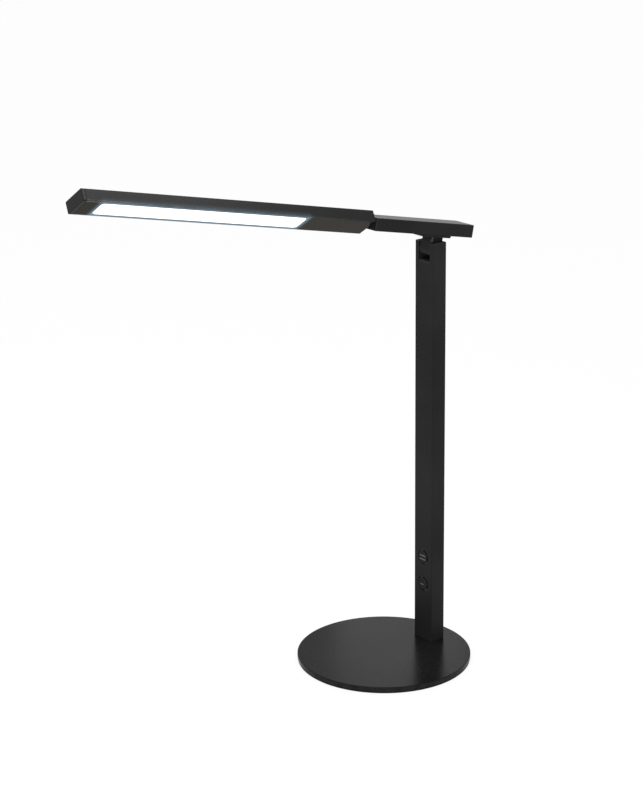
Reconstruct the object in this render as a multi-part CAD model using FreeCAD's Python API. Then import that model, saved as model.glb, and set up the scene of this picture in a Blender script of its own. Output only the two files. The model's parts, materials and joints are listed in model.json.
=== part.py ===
import FreeCAD, Part
import math
import os

# LED table lamp on a round base. Millimetres, +Z up, origin on the floor under the middle of the base.
# The post stands on the +X side of the base and the head reaches over the base toward -X.
# Tongue, arm and head are drawn level, with the arm along X, and are turned into the rest pose at the end.

V = FreeCAD.Vector

# Rest pose
tilt_rest = 11.5
roll_rest = 36.2

# Clearances, each on one side
snug = 0.02
running = 0.05
seat = 0.1
free_gap = 0.3

# Base
base_diameter = 180.0
plate_thickness = 5.0
plate_edge_radius = 0.8
plate_lower_chamfer = 0.3
pad_thickness = 1.6
pad_inset = 0.4
pad_edge_chamfer = 0.3

# Screws between base and post
base_screw_diameter = 4.0
base_screw_head_diameter = 8.0
base_screw_head_height = 2.2
base_screw_length = 14.0
base_screw_spread = 13.0
foot_plug_height = 12.0

# Cross recess in every screw head
recess_width = 0.7
recess_depth = 0.9

# Post
post_to_rim = 20.0
post_width = 28.0
post_depth = 17.3
post_height = 428.3
post_wall = 1.5
post_corner = 1.1
post_top_chamfer = 0.5

# Tilt hinge in the top of the post
slot_width = 17.0
slot_depth = 18.6
sill_height = 2.0
sill_chamfer = 0.9
rear_relief_depth = 7.4
yoke_floor_thickness = 12.0
yoke_screw_diameter = 3.0
yoke_screw_head_diameter = 5.4
yoke_screw_length = 7.0
yoke_screw_spread = 14.0
lead_bore_diameter = 4.2
pin_diameter = 4.0
pin_depth = 7.9
pin_forward = 1.45
pin_end_chamfer = 0.4
hinge_washer_diameter = 10.0
hinge_washer_thickness = 0.7
washer_recess = 0.55

# Tongue
knuckle_radius = 6.9
neck_recess = 1.2
neck_rear = 8.0
neck_height = 12.6
neck_slope_start = 5.2
neck_slope_end = 2.0
neck_rear_taper_height = 8.6
neck_corner_bevel = 1.2
tongue_edge_bevel = 0.3

# Swivel
swivel_behind_pin = 0.55
stud_diameter = 6.0
stud_bore = 3.4
stud_seat_depth = 8.0
slip_washer_diameter = 11.0
slip_washer_thickness = 0.5
swivel_gap = 0.1
swivel_washer_diameter = 12.0
swivel_washer_thickness = 0.8
swivel_nut_flats = 10.0
swivel_nut_height = 3.2
stud_end = 0.6
swivel_pad_to_head = 24.8
swivel_pad_to_tail = 13.6
swivel_pad_thickness = 2.2
swivel_pad_inset = 0.2
swivel_pad_chamfer = 1.3

# Arm
arm_width = 28.0
arm_height = 12.9
arm_to_head = 85.8
arm_to_tail = 41.2
arm_wall = 1.6
arm_bevel = 0.8
cover_thickness = 1.6
cover_screw_diameter = 2.5
cover_screw_head_diameter = 4.6
cover_screw_head_height = 1.2
cover_screw_length = 6.5
cover_boss_diameter = 4.8
cover_boss_inset = 6.5

# Head roll
head_gap = 1.6
shaft_diameter = 6.0
shaft_bore = 3.6
shaft_seat_length = 17.0
shaft_end = 0.6
bush_length = 12.0
bush_width = 11.0
roll_washer_thickness = 0.6
roll_gap = 0.1
ring_nut_length = 3.0

# Head
head_width = 28.0
head_height = 12.5
head_length = 332.0
head_wall = 1.4
head_bevel = 0.9
end_cap_thickness = 3.5
end_cap_bevel = 0.4
end_cap_plug_depth = 6.0
end_cap_plug_wall = 1.2
end_block_thickness = 2.0
end_block_plug_length = 20.0
seam_chamfer = 0.35
panel_rim = 2.3
panel_gap = 0.25
panel_thickness = 1.6
panel_edge_chamfer = 0.3
lip_chamfer = 0.25
window_length = 229.0
window_margin = 3.8
window_corner = 4.0
window_from_tip = 21.6
diffuser_recess = 0.3
diffuser_gap = 0.15
diffuser_flange = 2.0
diffuser_side_gap = 0.25
diffuser_flange_thickness = 1.0
guide_thickness = 3.0
reflector_thickness = 0.3
strip_thickness = 1.0
strip_height = 5.0
chip_length = 3.0
chip_height = 2.4
chip_thickness = 0.8
chip_pitch = 9.0
rib_thickness = 1.2
rib_spread = 10.0

# Buttons, switches and control board
lower_button_height = 68.3
button_spacing = 30.0
button_groove = 1.2
button_diameter = 13.2
button_rise = 0.6
button_edge_radius = 0.5
button_dish_radius = 60.0
button_dish_depth = 0.25
button_flange_lip = 0.9
button_flange_thickness = 1.0
button_travel = 0.8
button_stop_gap = 0.1
collar_thickness = 1.5
collar_margin = 11.0
plunger_diameter = 3.0
plunger_entry = 0.8
switch_size = 6.0
switch_height = 3.3
switch_clear = 1.2
board_thickness = 1.2
board_side_gap = 0.9
board_screw_diameter = 2.0
board_screw_head_diameter = 3.8
board_screw_head_height = 1.2
board_screw_length = 3.0
board_screw_spread = 14.0
board_screw_inset = 4.0
sled_wall = 1.5
sled_web = 1.8
sled_above_board = 6.0

# Parts on the control board
coil_diameter = 8.0
coil_height = 4.5
capacitor_diameter = 6.3
capacitor_height = 6.5
chip_body_width = 6.0
chip_body_length = 5.0
chip_body_height = 1.6
connector_width = 6.0
connector_length = 5.0
connector_height = 4.5
lead_diameter = 2.8
lead_end = 2.0
parts_gap = 3.0

# Power inlet
inlet_rise = 8.4
inlet_body_size = 9.0
inlet_body_depth = 9.5
inlet_nose_diameter = 7.8
inlet_bore_diameter = 5.6
inlet_bore_depth = 9.0
inlet_pin_diameter = 2.0
inlet_pin_length = 8.0
inlet_pin_root = 1.0
terminal_diameter = 1.0
terminal_length = 2.5
terminal_spread = 5.0

# Places worked out from the sizes above
base_top = pad_thickness + plate_thickness
post_top = base_top + post_height
post_offset = base_diameter / 2 - post_to_rim - post_depth / 2
post_front = post_offset - post_depth / 2
post_rear = post_offset + post_depth / 2
cavity_front = post_front + post_wall
cavity_rear = post_rear - post_wall
cavity_half = post_width / 2 - post_wall
slot_floor = post_top - slot_depth
pin_x = post_offset - pin_forward
tongue_width = slot_width - 2 * (hinge_washer_thickness - washer_recess + 2 * running)
pin_z = post_top - pin_depth
swivel_x = pin_x + swivel_behind_pin
neck_top = pin_z + neck_height
pad_bottom = neck_top + slip_washer_thickness + swivel_gap
arm_bottom = pad_bottom + swivel_pad_thickness
arm_axis = arm_bottom + arm_height / 2
arm_head_end = swivel_x - arm_to_head
arm_tail_end = swivel_x + arm_to_tail
cover_top = arm_bottom + cover_thickness
arm_ceiling = arm_bottom + arm_height - arm_wall
ring_nut_diameter = arm_ceiling - cover_top - 2 * free_gap
roll_washer_diameter = ring_nut_diameter - 2 * seat
head_end = arm_head_end - head_gap
head_tip = head_end - head_length
head_bottom = arm_axis - head_height / 2
head_ceiling = head_bottom + head_height - head_wall
head_half = head_width / 2 - head_wall
panel_half = head_width / 2 - panel_rim
housing_end = head_end - end_block_thickness
housing_tip = head_tip + end_cap_thickness
panel_top = head_bottom + panel_thickness
guide_bottom = panel_top + diffuser_flange_thickness
reflector_bottom = guide_bottom + guide_thickness
reflector_top = reflector_bottom + reflector_thickness
window_width = head_width - 2 * window_margin
window_tip = head_tip + window_from_tip
window_end = window_tip + window_length
guide_tip = window_tip - diffuser_flange
guide_end = window_end + diffuser_flange
strip_face = head_half - snug - strip_thickness
guide_lit_edge = strip_face - chip_thickness - seat
guide_back_edge = seat - head_half
collar_front = cavity_front + seat
collar_back = collar_front + collar_thickness
flange_front = collar_back + button_stop_gap
flange_back = flange_front + button_flange_thickness
switch_front = flange_back + button_travel + switch_clear
board_front = switch_front + switch_height
board_back = board_front + board_thickness
web_back = board_back + sled_web
foot_plug_top = base_top + foot_plug_height
inlet_height = foot_plug_top + inlet_rise
upper_button_height = lower_button_height + button_spacing
button_heights = (lower_button_height, upper_button_height)
button_hole_diameter = button_diameter + 2 * button_groove
button_flange_diameter = button_diameter + 2 * button_flange_lip
board_half = cavity_half - seat - sled_wall - board_side_gap
board_lower_end = inlet_height + inlet_body_size / 2 + terminal_length
coil_middle = lower_button_height - collar_margin - parts_gap - coil_diameter / 2
capacitor_middle = upper_button_height + collar_margin + parts_gap + capacitor_diameter / 2
chip_bottom = capacitor_middle + capacitor_diameter / 2 + parts_gap
connector_bottom = chip_bottom + chip_body_length + parts_gap
board_upper_end = connector_bottom + connector_length
sled_upper_end = board_upper_end + sled_above_board
lead_x = board_front - connector_height / 2
sides = (-1, 1)

# How near an edge must lie to a plane or a direction to be picked
pick_distance = 1e-5
pick_slope = 1e-6


def block(x0, x1, y0, y1, z0, z1):
    return Part.makeBox(x1 - x0, y1 - y0, z1 - z0, V(x0, y0, z0))


def rod(diameter, start, end):
    return Part.makeCylinder(diameter / 2, (end - start).Length, start, end - start)


def tube(outer, inner, start, end):
    return rod(outer, start, end).cut(rod(inner, start, end))


def cone(start_diameter, end_diameter, start, end):
    return Part.makeCone(start_diameter / 2, end_diameter / 2, (end - start).Length, start, end - start)


def hex_bar(flats, start, height):
    corner = flats / math.sqrt(3)
    ring = []
    for k in range(7):
        turn = k * math.pi / 3
        ring.append(start + V(corner * math.cos(turn), corner * math.sin(turn), 0))
    return Part.Face(Part.makePolygon(ring)).extrude(V(0, 0, height))


def prism_along_y(points, half_width):
    outline = Part.makePolygon([V(x, -half_width, z) for x, z in points + points[:1]])
    return Part.Face(outline).extrude(V(0, 2 * half_width, 0))


def edges_parallel(shape, direction):
    found = []
    for edge in shape.Edges:
        straight = isinstance(edge.Curve, Part.Line)
        if straight and edge.tangentAt(edge.FirstParameter).cross(direction).Length < pick_slope:
            found.append(edge)
    return found


def edges_in_plane(shape, axis, place):
    found = []
    for edge in shape.Edges:
        low = (edge.BoundBox.XMin, edge.BoundBox.YMin, edge.BoundBox.ZMin)[axis]
        high = (edge.BoundBox.XMax, edge.BoundBox.YMax, edge.BoundBox.ZMax)[axis]
        if abs(low - place) < pick_distance and abs(high - place) < pick_distance:
            found.append(edge)
    return found


def bar(x0, x1, width, bottom, height, bevel):
    whole = block(x0, x1, -width / 2, width / 2, bottom, bottom + height)
    return whole.makeChamfer(bevel, edges_parallel(whole, V(1, 0, 0)))


def cross_recess(head, way, span):
    bars = [block(-span / 2, span / 2, -recess_width / 2, recess_width / 2, 0, recess_depth),
            block(-recess_width / 2, recess_width / 2, -span / 2, span / 2, 0, recess_depth)]
    cross = bars[0].fuse(bars[1]).removeSplitter()
    cross.Placement = FreeCAD.Placement(head, FreeCAD.Rotation(V(0, 0, 1), way))
    return cross


def countersunk_screw(tip, head, diameter, head_diameter, head_height):
    way = (tip - head).normalize()
    neck = head + way * head_height
    screw = cone(head_diameter, diameter, head, neck).fuse(rod(diameter, neck, tip))
    return screw.cut(cross_recess(head, way, diameter))


def screw_hole(tip, head, diameter, head_diameter, head_height, clearance):
    way = (tip - head).normalize()
    neck = head + way * head_height
    sink = cone(head_diameter + 2 * clearance, diameter + 2 * clearance, head, neck)
    return sink.fuse(rod(diameter + 2 * clearance, neck, tip))


# Base

def base_screw_ends(side):
    place = V(post_offset, side * base_screw_spread / 2, pad_thickness)
    return place + V(0, 0, base_screw_length), place


def base_plate():
    disc = Part.makeCylinder(base_diameter / 2, plate_thickness, V(0, 0, pad_thickness))
    disc = disc.makeFillet(plate_edge_radius, edges_in_plane(disc, 2, base_top))
    disc = disc.makeChamfer(plate_lower_chamfer, edges_in_plane(disc, 2, pad_thickness))
    for side in sides:
        tip, head = base_screw_ends(side)
        disc = disc.cut(screw_hole(tip, head, base_screw_diameter, base_screw_head_diameter,
                                   base_screw_head_height, seat))
    return disc


def base_pad():
    disc = Part.makeCylinder(base_diameter / 2 - pad_inset, pad_thickness)
    return disc.makeChamfer(pad_edge_chamfer, edges_in_plane(disc, 2, 0))


def base_screws():
    screws = []
    for side in sides:
        tip, head = base_screw_ends(side)
        screws.append(countersunk_screw(tip, head, base_screw_diameter, base_screw_head_diameter,
                                        base_screw_head_height))
    return Part.makeCompound(screws)


def foot_plug():
    plug = block(cavity_front + snug, cavity_rear - snug, snug - cavity_half, cavity_half - snug,
                 base_top, foot_plug_top)
    for side in sides:
        tip, head = base_screw_ends(side)
        plug = plug.cut(rod(base_screw_diameter + 2 * snug, head, tip + V(0, 0, seat)))
    return plug


# Post and tilt hinge

def yoke_screw_ends(side):
    place = V(post_rear, side * yoke_screw_spread / 2, slot_floor - yoke_floor_thickness / 2)
    return place - V(yoke_screw_length, 0, 0), place


def post_tube():
    outside = block(post_front, post_rear, -post_width / 2, post_width / 2, base_top, post_top)
    outside = outside.makeFillet(post_corner, edges_parallel(outside, V(0, 0, 1)))
    outside = outside.makeChamfer(post_top_chamfer, edges_in_plane(outside, 2, post_top))
    shell = outside.cut(block(cavity_front, cavity_rear, -cavity_half, cavity_half, base_top, post_top))
    half = slot_width / 2
    shell = shell.cut(block(post_front, cavity_front, -half, half, slot_floor - sill_height, post_top))
    shell = shell.cut(block(cavity_rear, post_rear, -half, half, post_top - rear_relief_depth, post_top))
    for height in button_heights:
        shell = shell.cut(rod(button_hole_diameter, V(post_front, 0, height), V(cavity_front, 0, height)))
    nose = inlet_nose_diameter + 2 * seat
    shell = shell.cut(rod(nose, V(cavity_rear, 0, inlet_height), V(post_rear, 0, inlet_height)))
    for side in sides:
        tip, head = yoke_screw_ends(side)
        shell = shell.cut(screw_hole(tip, head, yoke_screw_diameter, yoke_screw_head_diameter,
                                     post_wall, seat))
    return shell


def hinge_yoke():
    half = slot_width / 2
    yoke = block(cavity_front + snug, cavity_rear - snug, snug - cavity_half, cavity_half - snug,
                 slot_floor - yoke_floor_thickness, post_top - post_top_chamfer)
    sill = block(post_front, cavity_front + snug, snug - half, half - snug,
                 slot_floor - sill_height + snug, slot_floor)
    yoke = yoke.cut(block(cavity_front, cavity_rear, -half, half, slot_floor, post_top))
    yoke = yoke.fuse(sill).removeSplitter()
    sill_edges = [edge for edge in edges_in_plane(yoke, 0, post_front)
                  if abs(edge.BoundBox.ZMin - slot_floor) < pick_distance]
    yoke = yoke.makeChamfer(sill_chamfer, sill_edges)
    yoke = yoke.cut(rod(pin_diameter + 2 * snug, V(pin_x, -post_width, pin_z), V(pin_x, post_width, pin_z)))
    yoke = yoke.cut(rod(lead_bore_diameter, V(lead_x, 0, slot_floor - yoke_floor_thickness),
                        V(lead_x, 0, slot_floor)))
    for side in sides:
        tip, head = yoke_screw_ends(side)
        yoke = yoke.cut(rod(yoke_screw_diameter + 2 * snug, head, tip - V(seat, 0, 0)))
    return yoke


def yoke_screws():
    screws = []
    for side in sides:
        tip, head = yoke_screw_ends(side)
        screws.append(countersunk_screw(tip, head, yoke_screw_diameter, yoke_screw_head_diameter, post_wall))
    return Part.makeCompound(screws)


def hinge_pin():
    half = cavity_half - seat
    pin = rod(pin_diameter, V(pin_x, -half, pin_z), V(pin_x, half, pin_z))
    return pin.makeChamfer(pin_end_chamfer, edges_in_plane(pin, 1, -half) + edges_in_plane(pin, 1, half))


def hinge_washers():
    rings = []
    for side in sides:
        inner = V(pin_x, side * (tongue_width / 2 - washer_recess + running), pin_z)
        outer = V(pin_x, side * (slot_width / 2 - running), pin_z)
        rings.append(tube(hinge_washer_diameter, pin_diameter + 2 * running, inner, outer))
    return Part.makeCompound(rings)


# Tongue and swivel

def neck_corner(neck, side, bevel):
    reach = neck_recess + seat
    inward = math.copysign(reach, bevel) + bevel
    bottom = neck_top - neck_slope_start
    corners = [V(neck - reach, side, bottom), V(neck + abs(bevel), side, bottom),
               V(neck - reach, side - inward, bottom)]
    return Part.Face(Part.makePolygon(corners + corners[:1])).extrude(V(0, 0, neck_slope_start))


def hinge_tongue():
    half = tongue_width / 2
    front = pin_x - knuckle_radius
    neck = front + neck_recess
    rear = pin_x + neck_rear
    knuckle_low = V(pin_x, -half, pin_z - knuckle_radius)
    corners = [V(front, -half, pin_z), V(front, -half, neck_top - neck_slope_start),
               V(neck, -half, neck_top - neck_slope_end), V(neck, -half, neck_top),
               V(rear, -half, neck_top), V(rear, -half, pin_z + neck_rear_taper_height),
               V(pin_x + knuckle_radius, -half, pin_z)]
    outline = [Part.LineSegment(start, end).toShape() for start, end in zip(corners, corners[1:])]
    outline.append(Part.Arc(corners[-1], knuckle_low, corners[0]).toShape())
    tongue = Part.Face(Part.Wire(outline)).extrude(V(0, tongue_width, 0))
    rims = edges_in_plane(tongue, 1, -half) + edges_in_plane(tongue, 1, half)
    tongue = tongue.makeChamfer(tongue_edge_bevel, rims)
    for side in sides:
        tongue = tongue.cut(neck_corner(neck, side * half, side * neck_corner_bevel))
        tongue = tongue.cut(rod(hinge_washer_diameter + 2 * seat, V(pin_x, side * (half - washer_recess), pin_z),
                                V(pin_x, side * half, pin_z)))
    tongue = tongue.cut(rod(pin_diameter + 2 * running, V(pin_x, -half, pin_z), V(pin_x, half, pin_z)))
    return tongue.cut(rod(stud_diameter + 2 * snug, V(swivel_x, 0, neck_top - stud_seat_depth),
                          V(swivel_x, 0, neck_top)))


def swivel_stack():
    washer_bottom = cover_top + swivel_gap
    nut_bottom = washer_bottom + swivel_washer_thickness
    return washer_bottom, nut_bottom, nut_bottom + swivel_nut_height


def swivel_stud():
    top = swivel_stack()[2] + stud_end
    return tube(stud_diameter, stud_bore, V(swivel_x, 0, neck_top - stud_seat_depth), V(swivel_x, 0, top))


def slip_washer():
    return tube(slip_washer_diameter, stud_diameter + 2 * snug, V(swivel_x, 0, neck_top),
                V(swivel_x, 0, neck_top + slip_washer_thickness))


def swivel_washer():
    bottom, top, _ = swivel_stack()
    return tube(swivel_washer_diameter, stud_diameter + 2 * snug, V(swivel_x, 0, bottom), V(swivel_x, 0, top))


def swivel_nut():
    _, bottom, top = swivel_stack()
    nut = hex_bar(swivel_nut_flats, V(swivel_x, 0, bottom), top - bottom)
    return nut.cut(rod(stud_diameter + 2 * snug, V(swivel_x, 0, bottom), V(swivel_x, 0, top)))


def stud_hole(bottom, top):
    return rod(stud_diameter + 2 * running, V(swivel_x, 0, bottom), V(swivel_x, 0, top))


def swivel_pad():
    start = swivel_x - swivel_pad_to_head
    end = swivel_x + swivel_pad_to_tail
    slope_top = pad_bottom + swivel_pad_chamfer
    pad = prism_along_y([(start, arm_bottom), (start, slope_top), (start + swivel_pad_chamfer, pad_bottom),
                         (end - swivel_pad_chamfer, pad_bottom), (end, slope_top), (end, arm_bottom)],
                        arm_width / 2 - arm_bevel - swivel_pad_inset)
    return pad.cut(stud_hole(pad_bottom, arm_bottom))


# Arm

def cover_screw_ends():
    ends = []
    for x in (arm_head_end + cover_boss_inset, arm_tail_end - cover_boss_inset):
        for side in sides:
            y = side * (arm_width / 2 - arm_wall - cover_boss_diameter / 2)
            ends.append((V(x, y, arm_bottom + cover_screw_length), V(x, y, arm_bottom)))
    return ends


def arm_housing():
    outside = block(arm_head_end, arm_tail_end, -arm_width / 2, arm_width / 2,
                    arm_bottom, arm_bottom + arm_height)
    outside = outside.makeChamfer(arm_bevel, outside.Edges)
    half = arm_width / 2 - arm_wall
    shell = outside.cut(block(arm_head_end + arm_wall, arm_tail_end - arm_wall, -half, half,
                              arm_bottom, arm_ceiling))
    for tip, head in cover_screw_ends():
        boss = rod(cover_boss_diameter, V(head.x, head.y, cover_top), V(head.x, head.y, arm_ceiling + snug))
        shell = shell.fuse(boss)
        shell = shell.cut(rod(cover_screw_diameter + 2 * snug, head, tip + V(0, 0, seat)))
    shaft_hole = shaft_diameter + 2 * free_gap
    return shell.cut(rod(shaft_hole, V(arm_head_end, 0, arm_axis), V(arm_head_end + arm_wall, 0, arm_axis)))


def arm_cover():
    half = arm_width / 2 - arm_wall - seat
    plate = block(arm_head_end + arm_wall + seat, arm_tail_end - arm_wall - seat, -half, half,
                  arm_bottom, cover_top)
    for tip, head in cover_screw_ends():
        plate = plate.cut(screw_hole(tip, head, cover_screw_diameter, cover_screw_head_diameter,
                                     cover_screw_head_height, seat))
    return plate.cut(stud_hole(arm_bottom, cover_top))


def arm_cover_screws():
    screws = []
    for tip, head in cover_screw_ends():
        screws.append(countersunk_screw(tip, head, cover_screw_diameter, cover_screw_head_diameter,
                                        cover_screw_head_height))
    return Part.makeCompound(screws)


# Head roll

def bush_ends():
    start = arm_head_end + arm_wall + snug
    return start, start + bush_length


def roll_stack():
    washer = bush_ends()[1] + roll_gap
    nut = washer + roll_washer_thickness
    return washer, nut, nut + ring_nut_length


def roll_bush():
    start, end = bush_ends()
    body = block(start, end, -bush_width / 2, bush_width / 2, cover_top + snug, arm_ceiling - snug)
    return body.cut(rod(shaft_diameter + 2 * running, V(start, 0, arm_axis), V(end, 0, arm_axis)))


def roll_shaft():
    end = roll_stack()[2] + shaft_end
    return tube(shaft_diameter, shaft_bore, V(head_end - shaft_seat_length, 0, arm_axis), V(end, 0, arm_axis))


def roll_washer():
    start, end, _ = roll_stack()
    return tube(roll_washer_diameter, shaft_diameter + 2 * snug, V(start, 0, arm_axis), V(end, 0, arm_axis))


def roll_ring_nut():
    _, start, end = roll_stack()
    return tube(ring_nut_diameter, shaft_diameter + 2 * snug, V(start, 0, arm_axis), V(end, 0, arm_axis))


def head_end_block():
    flange = bar(housing_end, head_end, head_width, head_bottom, head_height, head_bevel)
    flange = flange.makeChamfer(end_cap_bevel, edges_in_plane(flange, 0, head_end))
    half = head_half - seat
    plug_end = housing_end - end_block_plug_length
    plug = block(plug_end, housing_end, -half, half, panel_top + snug, head_ceiling - seat)
    shaft = rod(shaft_diameter + 2 * snug, V(head_end - shaft_seat_length, 0, arm_axis),
                V(head_end, 0, arm_axis))
    wire_way = rod(shaft_bore, V(plug_end, 0, arm_axis), V(head_end, 0, arm_axis))
    return flange.fuse(plug).removeSplitter().cut(shaft).cut(wire_way)


# Head

def head_housing():
    outside = bar(housing_tip, housing_end, head_width, head_bottom, head_height, head_bevel)
    outside = outside.makeChamfer(seam_chamfer, edges_in_plane(outside, 0, housing_tip))
    shell = outside.cut(block(housing_tip, housing_end, -head_half, head_half, panel_top, head_ceiling))
    shell = shell.cut(block(housing_tip, housing_end, -panel_half, panel_half, head_bottom, panel_top))
    lips = [edge for edge in edges_in_plane(shell, 2, head_bottom)
            if abs(abs(edge.BoundBox.YMin) - panel_half) < pick_distance and edge.Length > head_length / 2]
    shell = shell.makeChamfer(lip_chamfer, lips)
    for side in sides:
        middle = side * rib_spread / 2
        shell = shell.fuse(block(guide_tip, guide_end, middle - rib_thickness / 2, middle + rib_thickness / 2,
                                 reflector_top + snug, head_ceiling + snug))
    return shell.removeSplitter()


def head_end_cap():
    face = bar(head_tip, housing_tip, head_width, head_bottom, head_height, head_bevel)
    face = face.makeChamfer(end_cap_bevel, edges_in_plane(face, 0, head_tip))
    face = face.makeChamfer(seam_chamfer, edges_in_plane(face, 0, housing_tip))
    half = head_half - seat
    plug_end = housing_tip + end_cap_plug_depth
    plug = block(housing_tip, plug_end, -half, half, panel_top + snug, head_ceiling - seat)
    hollow = block(housing_tip, plug_end, end_cap_plug_wall - half, half - end_cap_plug_wall,
                   panel_top + snug + end_cap_plug_wall, head_ceiling - seat - end_cap_plug_wall)
    return face.fuse(plug.cut(hollow)).removeSplitter()


def window_plate(grow, bottom, top):
    half = window_width / 2 + grow
    plate = block(window_tip - grow, window_end + grow, -half, half, bottom, top)
    return plate.makeFillet(window_corner + grow, edges_parallel(plate, V(0, 0, 1)))


def head_panel():
    half = panel_half - panel_gap
    plate = block(housing_tip + snug, housing_end - snug, -half, half, head_bottom, panel_top)
    plate = plate.cut(window_plate(0, head_bottom, panel_top))
    return plate.makeChamfer(panel_edge_chamfer, edges_in_plane(plate, 2, head_bottom))


def diffuser():
    lens = window_plate(-diffuser_gap, head_bottom + diffuser_recess, panel_top)
    half = head_half - diffuser_side_gap
    flange = block(guide_tip, guide_end, -half, half, panel_top, guide_bottom)
    return lens.fuse(flange).removeSplitter()


def light_guide():
    return block(guide_tip, guide_end, guide_back_edge, guide_lit_edge, guide_bottom, reflector_bottom)


def reflector_sheet():
    return block(guide_tip, guide_end, guide_back_edge, guide_lit_edge, reflector_bottom, reflector_top)


def led_strip():
    return block(guide_tip, guide_end, strip_face, head_half - snug, guide_bottom + snug,
                 guide_bottom + snug + strip_height)


def led_chips():
    room = guide_end - guide_tip - chip_pitch
    count = int(room / chip_pitch) + 1
    first = (guide_tip + guide_end - (count - 1) * chip_pitch) / 2
    middle = guide_bottom + guide_thickness / 2
    chips = []
    for k in range(count):
        x = first + k * chip_pitch
        chips.append(block(x - chip_length / 2, x + chip_length / 2, strip_face - chip_thickness, strip_face,
                           middle - chip_height / 2, middle + chip_height / 2))
    return Part.makeCompound(chips)


# Buttons and control board

def button(height):
    crown = post_front - button_rise
    cap = rod(button_diameter, V(crown, 0, height), V(flange_front, 0, height))
    cap = cap.makeFillet(button_edge_radius, edges_in_plane(cap, 0, crown))
    dish = Part.makeSphere(button_dish_radius, V(crown + button_dish_depth - button_dish_radius, 0, height))
    flange = rod(button_flange_diameter, V(flange_front, 0, height), V(flange_back, 0, height))
    return cap.cut(dish).fuse(flange).removeSplitter()


def plunger(height):
    return rod(plunger_diameter, V(flange_back, 0, height), V(switch_front + plunger_entry, 0, height))


def tact_switches():
    switches = []
    half = switch_size / 2
    for height in button_heights:
        body = block(switch_front, board_front, -half, half, height - half, height + half)
        way = rod(plunger_diameter + 2 * running, V(switch_front, 0, height),
                  V(switch_front + plunger_entry + button_travel + free_gap, 0, height))
        switches.append(body.cut(way))
    return Part.makeCompound(switches)


def board_screw_ends():
    ends = []
    for z in (board_lower_end + board_screw_inset, board_upper_end - board_screw_inset):
        for side in sides:
            head = V(board_front, side * board_screw_spread / 2, z)
            ends.append((head + V(board_screw_length, 0, 0), head))
    return ends


def board_screws():
    screws = []
    for tip, seat_point in board_screw_ends():
        crown = seat_point - V(board_screw_head_height, 0, 0)
        head = rod(board_screw_head_diameter, crown, seat_point)
        screw = head.fuse(rod(board_screw_diameter, seat_point, tip))
        screws.append(screw.cut(cross_recess(crown, V(1, 0, 0), board_screw_diameter)))
    return Part.makeCompound(screws)


def control_board():
    board = block(board_front, board_back, -board_half, board_half, board_lower_end, board_upper_end)
    for tip, head in board_screw_ends():
        board = board.cut(rod(board_screw_diameter + 2 * snug, head, tip))
    return board


def board_parts():
    coil = rod(coil_diameter, V(board_front - coil_height, 0, coil_middle), V(board_front, 0, coil_middle))
    capacitor = rod(capacitor_diameter, V(board_front - capacitor_height, 0, capacitor_middle),
                    V(board_front, 0, capacitor_middle))
    chip = block(board_front - chip_body_height, board_front, -chip_body_width / 2, chip_body_width / 2,
                 chip_bottom, chip_bottom + chip_body_length)
    connector = block(board_front - connector_height, board_front, -connector_width / 2, connector_width / 2,
                      connector_bottom, board_upper_end)
    return Part.makeCompound([coil, capacitor, chip, connector])


def control_sled():
    half = cavity_half - seat
    back = cavity_rear - seat
    collar = block(collar_front, collar_back, -half, half, lower_button_height - collar_margin,
                   upper_button_height + collar_margin)
    web = block(board_back, web_back, -half, half, board_lower_end, sled_upper_end)
    sled = web.fuse(collar)
    for side in sides:
        low = min(side * half, side * (half - sled_wall))
        sled = sled.fuse(block(collar_front, back, low, low + sled_wall, foot_plug_top, sled_upper_end))
    sled = sled.removeSplitter()
    for height in button_heights:
        sled = sled.cut(rod(button_diameter + 2 * running, V(collar_front, 0, height),
                            V(collar_back, 0, height)))
    for tip, head in board_screw_ends():
        sled = sled.cut(rod(board_screw_diameter + 2 * snug, head, tip + V(seat, 0, 0)))
    return sled


def post_lead():
    return rod(lead_diameter, V(lead_x, 0, board_upper_end), V(lead_x, 0, slot_floor - lead_end))


# Power inlet in the rear of the post

def dc_socket():
    half = inlet_body_size / 2
    body = block(cavity_rear - inlet_body_depth, cavity_rear, -half, half,
                 inlet_height - half, inlet_height + half)
    body = body.fuse(rod(inlet_nose_diameter, V(cavity_rear, 0, inlet_height), V(post_rear, 0, inlet_height)))
    mouth = V(post_rear, 0, inlet_height)
    body = body.removeSplitter().cut(rod(inlet_bore_diameter, mouth - V(inlet_bore_depth, 0, 0), mouth))
    root = mouth - V(inlet_bore_depth, 0, 0)
    return body.cut(rod(inlet_pin_diameter + 2 * snug, root - V(inlet_pin_root, 0, 0), root))


def dc_pin():
    root = V(post_rear - inlet_bore_depth, 0, inlet_height)
    return rod(inlet_pin_diameter, root - V(inlet_pin_root, 0, 0), root + V(inlet_pin_length, 0, 0))


def dc_terminals():
    x = (board_front + board_back) / 2
    bottom = inlet_height + inlet_body_size / 2
    return Part.makeCompound([rod(terminal_diameter, V(x, side * terminal_spread / 2, bottom),
                                  V(x, side * terminal_spread / 2, board_lower_end)) for side in sides])


# Rest pose

def tilted(shape):
    turned = shape.copy()
    turned.rotate(V(pin_x, 0, pin_z), V(0, 1, 0), tilt_rest)
    return turned


def rolled(shape):
    turned = shape.copy()
    turned.rotate(V(head_end, 0, arm_axis), V(-1, 0, 0), roll_rest)
    return tilted(turned)


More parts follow.
